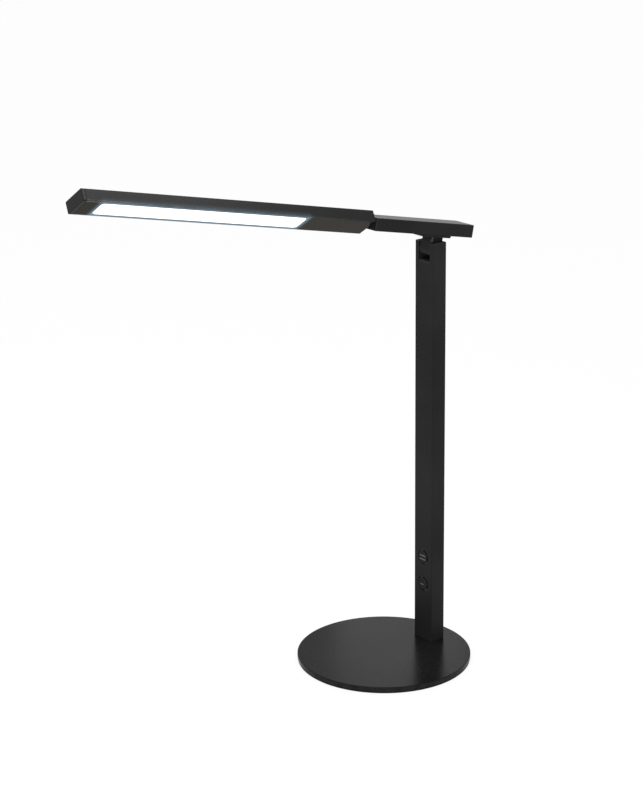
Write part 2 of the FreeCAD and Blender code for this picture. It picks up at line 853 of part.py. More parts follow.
stand_nodes = (base_plate, base_pad, base_screws, foot_plug, post_tube, hinge_yoke, yoke_screws, hinge_pin,
               hinge_washers, control_sled, control_board, tact_switches, board_parts, board_screws,
               post_lead, dc_socket, dc_pin, dc_terminals)
tilted_nodes = (hinge_tongue, swivel_stud, slip_washer, swivel_washer, swivel_nut, swivel_pad, arm_housing,
                arm_cover, arm_cover_screws, roll_bush)
rolled_nodes = (roll_shaft, roll_washer, roll_ring_nut, head_end_block, head_housing, head_end_cap,
                head_panel, diffuser, light_guide, reflector_sheet, led_strip, led_chips)

pieces = {maker.__name__: maker() for maker in stand_nodes}
pieces.update({maker.__name__: tilted(maker()) for maker in tilted_nodes})
pieces.update({maker.__name__: rolled(maker()) for maker in rolled_nodes})
for level, height in zip(("lower", "upper"), button_heights):
    pieces[level + "_button"] = button(height)
    pieces[level + "_plunger"] = plunger(height)

os.makedirs("parts", exist_ok=True)
for node, shape in pieces.items():
    shape.exportStep("parts/" + node + ".step")
    print(node, "solids", len(shape.Solids), "volume", round(shape.Volume, 1), "valid", shape.isValid())
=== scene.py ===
import json
import math
import bmesh
import bpy
from mathutils import Matrix, Quaternion, Vector


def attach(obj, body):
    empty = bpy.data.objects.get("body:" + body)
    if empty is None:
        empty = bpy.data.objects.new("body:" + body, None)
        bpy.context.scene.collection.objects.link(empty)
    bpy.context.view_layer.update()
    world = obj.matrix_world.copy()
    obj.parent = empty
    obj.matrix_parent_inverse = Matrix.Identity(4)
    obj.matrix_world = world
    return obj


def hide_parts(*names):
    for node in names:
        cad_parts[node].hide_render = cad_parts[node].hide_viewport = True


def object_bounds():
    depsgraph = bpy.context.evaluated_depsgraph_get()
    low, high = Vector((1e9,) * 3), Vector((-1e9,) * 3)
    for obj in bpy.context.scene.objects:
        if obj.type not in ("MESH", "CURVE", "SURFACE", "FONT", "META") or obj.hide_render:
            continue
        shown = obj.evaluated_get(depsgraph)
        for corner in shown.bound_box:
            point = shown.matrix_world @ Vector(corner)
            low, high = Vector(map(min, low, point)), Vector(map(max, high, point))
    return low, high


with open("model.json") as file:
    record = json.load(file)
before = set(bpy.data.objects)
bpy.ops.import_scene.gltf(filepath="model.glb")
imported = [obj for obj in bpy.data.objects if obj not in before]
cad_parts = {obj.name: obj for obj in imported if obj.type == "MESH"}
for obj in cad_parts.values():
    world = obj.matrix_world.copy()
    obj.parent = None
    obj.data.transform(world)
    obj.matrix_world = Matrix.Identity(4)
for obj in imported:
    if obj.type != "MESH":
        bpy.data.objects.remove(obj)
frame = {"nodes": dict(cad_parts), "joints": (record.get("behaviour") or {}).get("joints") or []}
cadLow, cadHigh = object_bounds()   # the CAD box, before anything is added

# Led table lamp: round base, upright post with two buttons, short arm and a flat light bar
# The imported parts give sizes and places; arm and head are modelled level, then turned into the rest pose

mm = 0.001
tiny = 0.002 * mm   # how far a point may lie from the place that is looked for
ringSlack = 0.01 * mm   # the same for points on a carved circle
sameWay = 0.999   # cosine from which two directions count as one
smoothAngle = math.radians(35)   # flatter edges than this are shaded smooth
sideX, sideY, sideZ = Vector((1, 0, 0)), Vector((0, 1, 0)), Vector((0, 0, 1))

joints = {joint["name"]: joint for joint in frame["joints"]}
hingePin = Vector(joints["arm_tilt"]["pos_m"])
swivelAxis = Vector(joints["arm_swivel"]["axis"])
rollPoint = Vector(joints["head_roll"]["pos_m"])
rollAxis = Vector(joints["head_roll"]["axis"])
armTilt = math.atan2(swivelAxis.x, swivelAxis.z)
headRoll = -math.radians(sum(joints["head_roll"]["range_deg"]) / 2)   # the roll range is even about level


def turnAbout(point, angle, axis):
    return Matrix.Translation(point) @ Matrix.Rotation(angle, 4, axis) @ Matrix.Translation(-point)


level = Matrix.Identity(4)
armTurn = turnAbout(hingePin, armTilt, "Y")
headTurn = turnAbout(rollPoint, headRoll, rollAxis) @ armTurn


def levelBox(node, turn=level):   # a part's box before it is turned into the rest pose
    back = turn.inverted()
    spots = [back @ vert.co for vert in frame["nodes"][node].data.vertices]
    low = Vector([min(spot[k] for spot in spots) for k in range(3)])
    high = Vector([max(spot[k] for spot in spots) for k in range(3)])
    return low, high


def at(vector, **changes):   # the same point with some of x, y, z changed
    moved = vector.copy()
    for name, value in changes.items():
        setattr(moved, name, value)
    return moved


# Modelling by hand: start shapes, picking, softening, carving

def clearSelection():
    if bpy.context.object and bpy.context.object.mode == "EDIT":
        bpy.ops.object.mode_set(mode="OBJECT")
    bpy.ops.object.select_all(action="DESELECT")


def hold(piece):
    clearSelection()
    bpy.context.view_layer.objects.active = piece
    piece.select_set(True)


def startBlock(name, low, high):
    clearSelection()
    bpy.ops.mesh.primitive_cube_add(size=1, location=(low + high) / 2)
    piece = bpy.context.object
    piece.name = name
    piece.scale = high - low
    bpy.ops.object.transform_apply(location=True, rotation=True, scale=True)
    return piece


def startRound(name, startRadius, start, end, sides=64, endRadius=None):
    clearSelection()
    run = end - start
    bpy.ops.mesh.primitive_cone_add(
        vertices=sides, radius1=startRadius, radius2=startRadius if endRadius is None else endRadius,
        depth=run.length, location=(start + end) / 2, rotation=run.to_track_quat("Z", "Y").to_euler())
    piece = bpy.context.object
    piece.name = name
    bpy.ops.object.transform_apply(location=True, rotation=True, scale=True)
    return piece


def pick(piece, kind, test):
    if piece.mode != "EDIT":
        hold(piece)
        bpy.ops.object.mode_set(mode="EDIT")
    bpy.ops.mesh.select_mode(type=kind)
    bpy.ops.mesh.select_all(action="DESELECT")
    shape = bmesh.from_edit_mesh(piece.data)
    shape.normal_update()
    for item in {"FACE": shape.faces, "EDGE": shape.edges, "VERT": shape.verts}[kind]:
        if test(item):
            item.select_set(True)
    shape.select_flush_mode()
    bmesh.update_edit_mesh(piece.data)


def runsAlong(axis):
    return lambda edge: abs((edge.verts[1].co - edge.verts[0].co).normalized()[axis]) > sameWay


def inPlane(axis, place):
    return lambda edge: all(abs(vert.co[axis] - place) < tiny for vert in edge.verts)


def facing(direction):
    return lambda face: face.normal.dot(direction) > sameWay


def within(low, high):   # an edge or face whose points all lie in a box
    def test(item):
        return all(low[k] - tiny <= vert.co[k] <= high[k] + tiny for vert in item.verts for k in range(3))
    return test


def onRing(middle, radius, axis):   # an edge on a circle round a middle point
    def test(edge):
        for vert in edge.verts:
            away = vert.co - middle
            if abs(away[axis]) > tiny or abs(away.length - radius) > ringSlack:
                return False
        return True
    return test


def both(*tests):
    return lambda item: all(test(item) for test in tests)


def soften(piece, test, width, steps=3, profile=0.5):
    pick(piece, "EDGE", test)
    bpy.ops.mesh.bevel(offset=width, offset_type="OFFSET", segments=steps, profile=profile, affect="EDGES")


def carve(piece, cutter, how="DIFFERENCE"):
    hold(piece)
    cut = piece.modifiers.new("carve", "BOOLEAN")
    cut.operation = how
    cut.solver = "EXACT"
    cut.object = cutter
    bpy.ops.object.modifier_apply(modifier=cut.name)
    bpy.data.objects.remove(cutter)


def clearSlivers(piece):   # carving and softening can leave faces with no area
    pick(piece, "VERT", lambda vert: True)
    bpy.ops.mesh.remove_doubles(threshold=tiny)
    bpy.ops.mesh.dissolve_degenerate(threshold=tiny)


# Highlight tests tell from a face's normal and a corner's spot how much painted highlight and coat gloss an
# edge gets, 0 to 1

standing = {"lean": 0.3, "diagonal": 0.2}


def noPaintedHighlight(normal, spot):
    return 0.0


def standingEdge(normal, spot):   # softened upright edges get painted highlight and coat gloss
    upright = abs(normal.z) < standing["lean"]
    return 1.0 if upright and min(abs(normal.x), abs(normal.y)) > standing["diagonal"] else 0.0


# Painted edge highlight, finish and body of a piece, which is turned into the rest pose last
def dress(piece, paint, body, nodes=(), turn=level, highlightShare=noPaintedHighlight):
    hold(piece)
    paintedHighlight = piece.data.attributes.new("paintedEdgeHighlight", "FLOAT", "CORNER")   # up to 1 where an edge gets painted highlight and coat gloss
    for face in piece.data.polygons:
        for corner in face.loop_indices:
            spot = piece.data.vertices[piece.data.loops[corner].vertex_index].co
            paintedHighlight.data[corner].value = highlightShare(face.normal, spot)
    piece.matrix_world = turn
    bpy.ops.object.transform_apply(location=True, rotation=True, scale=True)
    bpy.ops.object.shade_smooth_by_angle(angle=smoothAngle)
    even = piece.modifiers.new("evenNormals", "WEIGHTED_NORMAL")
    even.keep_sharp = True
    bpy.ops.object.modifier_apply(modifier=even.name)
    piece.data.materials.clear()
    piece.data.materials.append(paint)
    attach(piece, body)
    if nodes:
        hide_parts(*nodes)
    print("piece", piece.name, "faces", len(piece.data.polygons))
    return piece


softEdges = {"flatAngle": math.radians(0.5), "sharpAngle": math.radians(40), "steps": 2}


def softCopy(node, name, width, turn=level):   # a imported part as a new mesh, its sharp edges softened
    mesh = frame["nodes"][node].data.copy()
    mesh.transform(turn.inverted())
    piece = bpy.data.objects.new(name, mesh)
    bpy.context.scene.collection.objects.link(piece)
    hold(piece)
    bpy.ops.mesh.customdata_custom_splitnormals_clear()
    bpy.ops.object.mode_set(mode="EDIT")
    bpy.ops.mesh.select_all(action="SELECT")
    bpy.ops.mesh.remove_doubles(threshold=tiny)
    bpy.ops.mesh.dissolve_limited(angle_limit=softEdges["flatAngle"])

    def sharp(edge):
        return edge.is_manifold and edge.calc_face_angle(0) > softEdges["sharpAngle"]

    soften(piece, sharp, width, softEdges["steps"])
    return piece


# Shader node groups that several finishes share

def newGroup(name, inputs, outputs):
    group = bpy.data.node_groups.new(name, "ShaderNodeTree")
    for label, kind in inputs:
        group.interface.new_socket(name=label, in_out="INPUT", socket_type=kind)
    for label, kind in outputs:
        group.interface.new_socket(name=label, in_out="OUTPUT", socket_type=kind)
    return group, group.nodes.new("NodeGroupInput"), group.nodes.new("NodeGroupOutput")


def addNode(tree, kind, values=None, **settings):
    node = tree.nodes.new(kind)
    for name, value in settings.items():
        setattr(node, name, value)
    for socket, value in (values or {}).items():
        node.inputs[socket].default_value = value
    return node


def mathNode(tree, operation, first, second=None, clamp=False):
    node = addNode(tree, "ShaderNodeMath", operation=operation, use_clamp=clamp)
    for place, value in enumerate((first, second)):
        if isinstance(value, (int, float)):
            node.inputs[place].default_value = value
        elif value is not None:
            tree.links.new(value, node.inputs[place])
    return node.outputs[0]


def rangeNode(tree, value, span, result=(0.0, 1.0)):
    node = addNode(tree, "ShaderNodeMapRange", {"From Min": span[0], "From Max": span[1],
                                                "To Min": result[0], "To Max": result[1]})
    tree.links.new(value, node.inputs["Value"])
    return node.outputs["Result"]


mixSockets = {"factor": 0, "first": 6, "second": 7, "result": 2}   # a colour mix's own socket numbers


def mixColour(tree, factor, first, second):
    node = addNode(tree, "ShaderNodeMix", data_type="RGBA")
    for label, value in (("factor", factor), ("first", first), ("second", second)):
        place = mixSockets[label]
        if isinstance(value, (tuple, list)):
            node.inputs[place].default_value = (*value, 1)
        elif isinstance(value, (int, float)):
            node.inputs[place].default_value = value
        else:
            tree.links.new(value, node.inputs[place])
    return node.outputs[mixSockets["result"]]


effects = {"grainSpan": (0.3, 0.7), "speckSpan": (0.12, 0.3), "cloudScale": 14.0, "cloudSpan": (0.35, 0.65),
           "highlightPatchScale": 90.0, "highlightPatchSpan": (0.3, 0.7), "highlightPatchShare": (0.25, 1.0), "dustScale": 260.0,
           "dustSlope": (0.6, 1.0), "dustSpan": (0.45, 0.75), "spillFade": 2.0}


def makeCoatGrain():   # fine orange-peel grain, small specks and slow clouding of a coat or moulding
    group, start, end = newGroup(
        "coatGrain", [("Vector", "NodeSocketVector"), ("Scale", "NodeSocketFloat")],
        [("Height", "NodeSocketFloat"), ("Speck", "NodeSocketFloat"), ("Cloud", "NodeSocketFloat")])
    link = group.links.new
    grain = addNode(group, "ShaderNodeTexNoise", {"Detail": 3.0, "Roughness": 0.6})
    speck = addNode(group, "ShaderNodeTexVoronoi", {"Randomness": 1.0})
    cloud = addNode(group, "ShaderNodeTexNoise",
                    {"Scale": effects["cloudScale"], "Detail": 2.0, "Roughness": 0.5})
    for node in (grain, speck, cloud):
        link(start.outputs["Vector"], node.inputs["Vector"])
    link(start.outputs["Scale"], grain.inputs["Scale"])
    link(start.outputs["Scale"], speck.inputs["Scale"])
    link(grain.outputs["Fac"], end.inputs["Height"])
    link(rangeNode(group, speck.outputs["Distance"], effects["speckSpan"], (1.0, 0.0)), end.inputs["Speck"])
    link(rangeNode(group, cloud.outputs["Fac"], effects["cloudSpan"]), end.inputs["Cloud"])
    return group


def makePaintedHighlightPatches():   # painted highlight in noisy patches along chosen softened edges
    group, start, end = newGroup(
        "paintedHighlightPatches", [("Vector", "NodeSocketVector"), ("Edge", "NodeSocketFloat"),
                       ("Amount", "NodeSocketFloat")], [("Mask", "NodeSocketFloat")])
    link = group.links.new
    patch = addNode(group, "ShaderNodeTexNoise",
                    {"Scale": effects["highlightPatchScale"], "Detail": 4.0, "Roughness": 0.65})
    link(start.outputs["Vector"], patch.inputs["Vector"])
    spread = rangeNode(group, patch.outputs["Fac"], effects["highlightPatchSpan"], effects["highlightPatchShare"])
    highlightShare = mathNode(group, "MULTIPLY", spread, start.outputs["Edge"])
    link(mathNode(group, "MULTIPLY", highlightShare, start.outputs["Amount"], clamp=True), end.inputs["Mask"])
    return group


def makeSettledDust():   # a thin veil of dust on what faces up
    group, start, end = newGroup(
        "settledDust", [("Vector", "NodeSocketVector"), ("Normal", "NodeSocketVector"),
                        ("Amount", "NodeSocketFloat")], [("Mask", "NodeSocketFloat")])
    link = group.links.new
    apart = addNode(group, "ShaderNodeSeparateXYZ")
    link(start.outputs["Normal"], apart.inputs[0])
    upward = rangeNode(group, apart.outputs["Z"], effects["dustSlope"])
    drift = addNode(group, "ShaderNodeTexNoise",
                    {"Scale": effects["dustScale"], "Detail": 5.0, "Roughness": 0.7})
    link(start.outputs["Vector"], drift.inputs["Vector"])
    flecks = rangeNode(group, drift.outputs["Fac"], effects["dustSpan"])
    veil = mathNode(group, "MULTIPLY", upward, flecks)
    link(mathNode(group, "MULTIPLY", veil, start.outputs["Amount"], clamp=True), end.inputs["Mask"])
    return group


def makeDrawnLines():   # fine lines left by turning or drawing metal
    group, start, end = newGroup(
        "drawnLines", [("Vector", "NodeSocketVector"), ("Stretch", "NodeSocketVector")],
        [("Line", "NodeSocketFloat")])
    link = group.links.new
    pull = addNode(group, "ShaderNodeVectorMath", operation="MULTIPLY")
    link(start.outputs["Vector"], pull.inputs[0])
    link(start.outputs["Stretch"], pull.inputs[1])
    lines = addNode(group, "ShaderNodeTexNoise", {"Scale": 1.0, "Detail": 3.0, "Roughness": 0.6})
    link(pull.outputs[0], lines.inputs["Vector"])
    link(lines.outputs["Fac"], end.inputs["Line"])
    return group


def makeLensSpill():   # painted glow: emission round the window that stands in for the lit lens's light on what frames it
    group, start, end = newGroup(
        "lensSpill", [("Vector", "NodeSocketVector"), ("HalfLength", "NodeSocketFloat"),
                      ("HalfWidth", "NodeSocketFloat"), ("Reach", "NodeSocketFloat")],
        [("Mask", "NodeSocketFloat")])
    link = group.links.new
    apart = addNode(group, "ShaderNodeSeparateXYZ")
    link(start.outputs["Vector"], apart.inputs[0])
    away = addNode(group, "ShaderNodeCombineXYZ")
    for axis, reach in (("X", "HalfLength"), ("Y", "HalfWidth")):
        offset = mathNode(group, "ABSOLUTE", apart.outputs[axis])
        past = mathNode(group, "SUBTRACT", offset, start.outputs[reach])
        link(mathNode(group, "MAXIMUM", past, 0.0), away.inputs[axis])
    link(apart.outputs["Z"], away.inputs["Z"])
    distance = addNode(group, "ShaderNodeVectorMath", operation="LENGTH")
    link(away.outputs[0], distance.inputs[0])
    share = mathNode(group, "DIVIDE", distance.outputs["Value"], start.outputs["Reach"])
    near = mathNode(group, "SUBTRACT", 1.0, share, clamp=True)
    link(mathNode(group, "POWER", near, effects["spillFade"]), end.inputs["Mask"])
    return group


coatGrain = makeCoatGrain()
paintedHighlightPatches = makePaintedHighlightPatches()
settledDust = makeSettledDust()
drawnLines = makeDrawnLines()
lensSpill = makeLensSpill()
print("node groups ready")


# Finishes

def newFinish(name):
    finish = bpy.data.materials.new(name)
    finish.use_nodes = True
    tree = finish.node_tree
    coords = addNode(tree, "ShaderNodeTexCoord")
    return finish, tree, tree.nodes["Principled BSDF"], coords


def placeGroup(tree, group, links, values=None):
    node = addNode(tree, "ShaderNodeGroup", node_tree=group)
    for socket, value in (values or {}).items():
        node.inputs[socket].default_value = value
    for socket, source in links.items():
        tree.links.new(source, node.inputs[socket])
    return node


def coatFinish(name, look):   # paint, anodised coat, moulded plastic and rubber
    finish, tree, shader, coords = newFinish(name)
    where = coords.outputs["Object"]
    grain = placeGroup(tree, coatGrain, {"Vector": where}, {"Scale": look["grain"]})
    edge = addNode(tree, "ShaderNodeAttribute", attribute_name="paintedEdgeHighlight")
    paintedHighlight = placeGroup(tree, paintedHighlightPatches, {"Vector": where, "Edge": edge.outputs["Fac"]},
                     {"Amount": look["paintedHighlight"]})
    dust = placeGroup(tree, settledDust, {"Vector": where, "Normal": coords.outputs["Normal"]},
                      {"Amount": look["dust"]})
    colour = mixColour(tree, grain.outputs["Cloud"], look["deep"], look["pale"])
    speck = mathNode(tree, "MULTIPLY", grain.outputs["Speck"], look["speck"])
    colour = mixColour(tree, speck, colour, look["speckColour"])
    # painted highlight: the chosen edges turn a lighter grey; the same mask below gives them a real clear
    # coat
    colour = mixColour(tree, paintedHighlight.outputs["Mask"], colour, look["paintedHighlightColour"])
    colour = mixColour(tree, dust.outputs["Mask"], colour, look["dustColour"])
    tree.links.new(colour, shader.inputs["Base Color"])
    sheen = rangeNode(tree, grain.outputs["Height"], effects["grainSpan"], look["rough"])
    tree.links.new(sheen, shader.inputs["Roughness"])
    tree.links.new(paintedHighlight.outputs["Mask"], shader.inputs["Coat Weight"])
    shader.inputs["Coat Roughness"].default_value = look["shine"]
    relief = addNode(tree, "ShaderNodeBump", {"Strength": look["bite"], "Distance": look["relief"]})
    tree.links.new(grain.outputs["Height"], relief.inputs["Height"])
    tree.links.new(relief.outputs["Normal"], shader.inputs["Normal"])
    shader.inputs["Specular IOR Level"].default_value = look["gloss"]
    return finish


# each coat's edge amount and edge colour paint a highlight on the edges its piece picks
plainCoat = {"deep": (0.014, 0.014, 0.0143), "pale": (0.019, 0.019, 0.0193), "grain": 1700.0,
             "speck": 0.25, "speckColour": (0.035, 0.035, 0.036), "paintedHighlight": 0.8,
             "paintedHighlightColour": (0.03, 0.03, 0.031), "dust": 0.02, "dustColour": (0.3, 0.29, 0.28),
             "rough": (0.32, 0.42), "bite": 0.2, "relief": 0.05 * mm, "gloss": 0.04, "shine": 0.25}
coats = {
    "basePowderCoat": {"deep": (0.006, 0.006, 0.0062), "pale": (0.0085, 0.0085, 0.0087), "grain": 1100.0,
                       "speck": 0.35, "rough": (0.21, 0.28), "bite": 0.12, "gloss": 0.032, "dust": 0.012},
    "postSatinCoat": {"paintedHighlight": 0.5},
    "armSatinCoat": {"rough": (0.24, 0.32), "paintedHighlight": 0.5, "gloss": 0.031},
    "headSatinCoat": {"deep": (0.009, 0.009, 0.0093), "pale": (0.012, 0.012, 0.0123), "gloss": 0.08,
                      "paintedHighlight": 1.3},
    "tongueCoat": {"grain": 2100.0, "paintedHighlight": 0.5},
    # lighter than the other coats: painted light on the yoke in the shaded slot
    "yokeCoat": {"deep": (0.022, 0.022, 0.0225), "pale": (0.028, 0.028, 0.0285), "grain": 2100.0},
    "trimMoulding": {"deep": (0.009, 0.009, 0.0092), "pale": (0.012, 0.012, 0.0122), "grain": 2600.0,
                     "gloss": 0.095},
    # warm brown tone: painted reflection of warm light on the underside
    "panelMoulding": {"deep": (0.0125, 0.0105, 0.0062), "pale": (0.017, 0.0143, 0.009), "grain": 2600.0,
                      "rough": (0.15, 0.2), "bite": 0.06, "gloss": 0.03, "dust": 0.0},
    "buttonMoulding": {"grain": 3200.0, "rough": (0.4, 0.5)},
    "markInk": {"deep": (0.12, 0.12, 0.12), "pale": (0.17, 0.17, 0.17), "grain": 5200.0, "paintedHighlight": 0.0,
                "speckColour": (0.1, 0.1, 0.1), "rough": (0.5, 0.62), "dust": 0.0},
    "footRubber": {"deep": (0.006, 0.006, 0.006), "pale": (0.01, 0.01, 0.01), "grain": 1100.0,
                   "rough": (0.7, 0.86), "bite": 0.6, "gloss": 0.1, "dust": 0.0},
    "screwBlackening": {"deep": (0.02, 0.02, 0.021), "pale": (0.03, 0.03, 0.031), "rough": (0.3, 0.42),
                        "gloss": 0.5, "paintedHighlight": 0.0},
    "innerMoulding": {"deep": (0.05, 0.05, 0.052), "pale": (0.07, 0.07, 0.072), "grain": 2200.0,
                      "gloss": 0.4},
    "slipNylon": {"deep": (0.6, 0.59, 0.55), "pale": (0.7, 0.69, 0.65), "paintedHighlightColour": (0.7, 0.7, 0.68),
                  "speckColour": (0.5, 0.5, 0.47), "gloss": 0.5},
    "partBlackening": {"grain": 2600.0, "rough": (0.22, 0.34), "gloss": 0.5},
    "leadJacket": {"grain": 1300.0, "rough": (0.5, 0.62), "gloss": 0.4},
    "reflectorFilm": {"deep": (0.82, 0.82, 0.83), "pale": (0.88, 0.88, 0.89), "rough": (0.3, 0.4),
                      "speckColour": (0.8, 0.8, 0.8), "gloss": 0.5, "dust": 0.0},
    "stripMask": {"deep": (0.7, 0.72, 0.71), "pale": (0.78, 0.79, 0.78), "rough": (0.3, 0.4),
                  "speckColour": (0.6, 0.62, 0.6), "gloss": 0.5, "dust": 0.0},
    "ledPhosphor": {"deep": (0.75, 0.58, 0.12), "pale": (0.85, 0.7, 0.2), "rough": (0.3, 0.45),
                    "speckColour": (0.9, 0.8, 0.4), "gloss": 0.5, "dust": 0.0},
}
finishes = {name: coatFinish(name, {**plainCoat, **look}) for name, look in coats.items()}


def metalFinish(name, look):   # turned and drawn metal
    finish, tree, shader, coords = newFinish(name)
    lines = placeGroup(tree, drawnLines, {"Vector": coords.outputs["Object"]}, {"Stretch": look["stretch"]})
    grain = placeGroup(tree, coatGrain, {"Vector": coords.outputs["Object"]}, {"Scale": look["grain"]})
    tone = mixColour(tree, lines.outputs["Line"], look["deep"], look["pale"])
    tarnish = mathNode(tree, "MULTIPLY", grain.outputs["Cloud"], look["dullShare"])
    tree.links.new(mixColour(tree, tarnish, tone, look["dull"]), shader.inputs["Base Color"])
    sheen = rangeNode(tree, lines.outputs["Line"], effects["grainSpan"], look["rough"])
    tree.links.new(sheen, shader.inputs["Roughness"])
    relief = addNode(tree, "ShaderNodeBump", {"Strength": look["bite"], "Distance": look["relief"]})
    tree.links.new(lines.outputs["Line"], relief.inputs["Height"])
    tree.links.new(relief.outputs["Normal"], shader.inputs["Normal"])
    shader.inputs["Metallic"].default_value = 1.0
    return finish


plainMetal = {"grain": 700.0, "dullShare": 0.3, "bite": 0.15, "relief": 0.02 * mm}
metals = {
    "turnedSteel": {"deep": (0.5, 0.5, 0.51), "pale": (0.66, 0.66, 0.67), "dull": (0.42, 0.42, 0.43),
                    "stretch": (300.0, 6000.0, 6000.0), "rough": (0.22, 0.38)},
    "plugCasting": {"deep": (0.5, 0.51, 0.52), "pale": (0.62, 0.63, 0.64), "dull": (0.4, 0.41, 0.42),
                    "stretch": (900.0, 900.0, 900.0), "rough": (0.4, 0.55)},
    "contactBrass": {"deep": (0.7, 0.52, 0.2), "pale": (0.8, 0.64, 0.3), "dull": (0.5, 0.38, 0.16),
                     "stretch": (400.0, 5000.0, 5000.0), "rough": (0.2, 0.32)},
}
finishes.update({name: metalFinish(name, {**plainMetal, **look}) for name, look in metals.items()})


boardLook = {"mask": (0.012, 0.09, 0.03), "track": (0.03, 0.16, 0.05), "dark": (0.008, 0.06, 0.02),
             "tracks": 160.0, "trackWidth": 0.06, "trackBlur": 0.1, "rough": (0.3, 0.42), "bite": 0.3,
             "relief": 0.03 * mm}


def boardFinish():   # solder mask with copper tracks under it
    look = boardLook
    finish, tree, shader, coords = newFinish("boardMask")
    tracks = addNode(tree, "ShaderNodeTexBrick", {
        "Scale": look["tracks"], "Mortar Size": look["trackWidth"], "Mortar Smooth": look["trackBlur"],
        "Color1": (*look["mask"], 1), "Color2": (*look["dark"], 1), "Mortar": (*look["track"], 1)})
    tree.links.new(coords.outputs["Object"], tracks.inputs["Vector"])
    tree.links.new(tracks.outputs["Color"], shader.inputs["Base Color"])
    sheen = rangeNode(tree, tracks.outputs["Fac"], (0, 1), look["rough"])
    tree.links.new(sheen, shader.inputs["Roughness"])
    relief = addNode(tree, "ShaderNodeBump", {"Strength": look["bite"], "Distance": look["relief"]})
    tree.links.new(tracks.outputs["Fac"], relief.inputs["Height"])
    tree.links.new(relief.outputs["Normal"], shader.inputs["Normal"])
    return finish


guideLook = {"dots": 700.0, "dotSpan": (0.25, 0.3), "clear": (0.92, 0.95, 0.97), "dot": (0.98, 0.98, 0.98),
             "rough": (0.06, 0.5), "clearness": 0.85, "index": 1.49}


def guideFinish():   # clear light guide with a printed dot field
    look = guideLook
    finish, tree, shader, coords = newFinish("guideAcrylic")
    dots = addNode(tree, "ShaderNodeTexVoronoi", {"Scale": look["dots"], "Randomness": 0.0})
    tree.links.new(coords.outputs["Object"], dots.inputs["Vector"])
    spot = rangeNode(tree, dots.outputs["Distance"], look["dotSpan"], (1.0, 0.0))
    tree.links.new(mixColour(tree, spot, look["clear"], look["dot"]), shader.inputs["Base Color"])
    tree.links.new(rangeNode(tree, spot, (0, 1), look["rough"]), shader.inputs["Roughness"])
    shader.inputs["Transmission Weight"].default_value = look["clearness"]
    shader.inputs["IOR"].default_value = look["index"]
    return finish


finishes["boardMask"] = boardFinish()
finishes["guideAcrylic"] = guideFinish()
print("finishes ready", len(finishes))


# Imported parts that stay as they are, each with its finish

keptParts = {
    "footRubber": ["base_pad"],
    "screwBlackening": ["yoke_screws", "arm_cover_screws"],
    "turnedSteel": ["base_screws", "hinge_pin", "hinge_washers", "swivel_stud", "swivel_washer",
                    "swivel_nut", "roll_shaft", "roll_washer", "roll_ring_nut", "board_screws"],
    "plugCasting": ["foot_plug"],
    "innerMoulding": ["control_sled", "roll_bush", "upper_plunger", "lower_plunger"],
    "slipNylon": ["slip_washer"],
    "boardMask": ["control_board"],
    "partBlackening": ["board_parts", "tact_switches", "dc_socket"],
    "leadJacket": ["post_lead"],
    "contactBrass": ["dc_pin", "dc_terminals"],
    "guideAcrylic": ["light_guide"],
    "reflectorFilm": ["reflector_sheet"],
    "stripMask": ["led_strip"],
    "ledPhosphor": ["led_chips"],
}
for finishName, nodeNames in keptParts.items():
    for nodeName in nodeNames:
        frame["nodes"][nodeName].data.materials.clear()
        frame["nodes"][nodeName].data.materials.append(finishes[finishName])
print("kept parts finished", sum(len(names) for names in keptParts.values()))


# Base plate

basePlate = {"rimRound": 0.8 * mm, "rimSteps": 5, "footChamfer": 0.3 * mm, "footSteps": 2, "sides": 288,
             "rimHighlight": 0.3, "rimSlope": 0.5}


def modelBasePlate():
    low, high = levelBox("base_plate")
    radius = (high.y - low.y) / 2
    plate = startRound("basePlate", radius, sideZ * low.z, sideZ * high.z, basePlate["sides"])
    soften(plate, inPlane(2, high.z), basePlate["rimRound"], basePlate["rimSteps"])
    soften(plate, inPlane(2, low.z), basePlate["footChamfer"], basePlate["footSteps"])

    def rimEdge(normal, spot):   # the rim gets painted highlight and coat gloss
        return basePlate["rimHighlight"] if abs(normal.z) < basePlate["rimSlope"] else 0.0

    dress(plate, finishes["basePowderCoat"], "stand", ["base_plate"], highlightShare=rimEdge)


modelBasePlate()


# Post: a drawn tube with a hinge slot, two button holes, the inlet hole and two countersunk screw holes

post = {"wall": 1.5 * mm, "corner": 1.1 * mm, "cornerSteps": 5, "topEdge": 0.5 * mm, "edgeSteps": 2,
        "slotWidth": 17 * mm, "slotDepth": 20.6 * mm, "slotEdge": 0.25 * mm, "reliefDepth": 7.4 * mm,
        "buttonHole": 7.8 * mm, "inletHole": 4.0 * mm, "holeEdge": 0.25 * mm, "holeSides": 72,
        "screwHead": 2.8 * mm, "screwNeck": 1.6 * mm, "screwInset": 2.7 * mm, "screwSides": 48,
        "past": 0.5 * mm, "highlightSlope": (0.1, 0.985)}


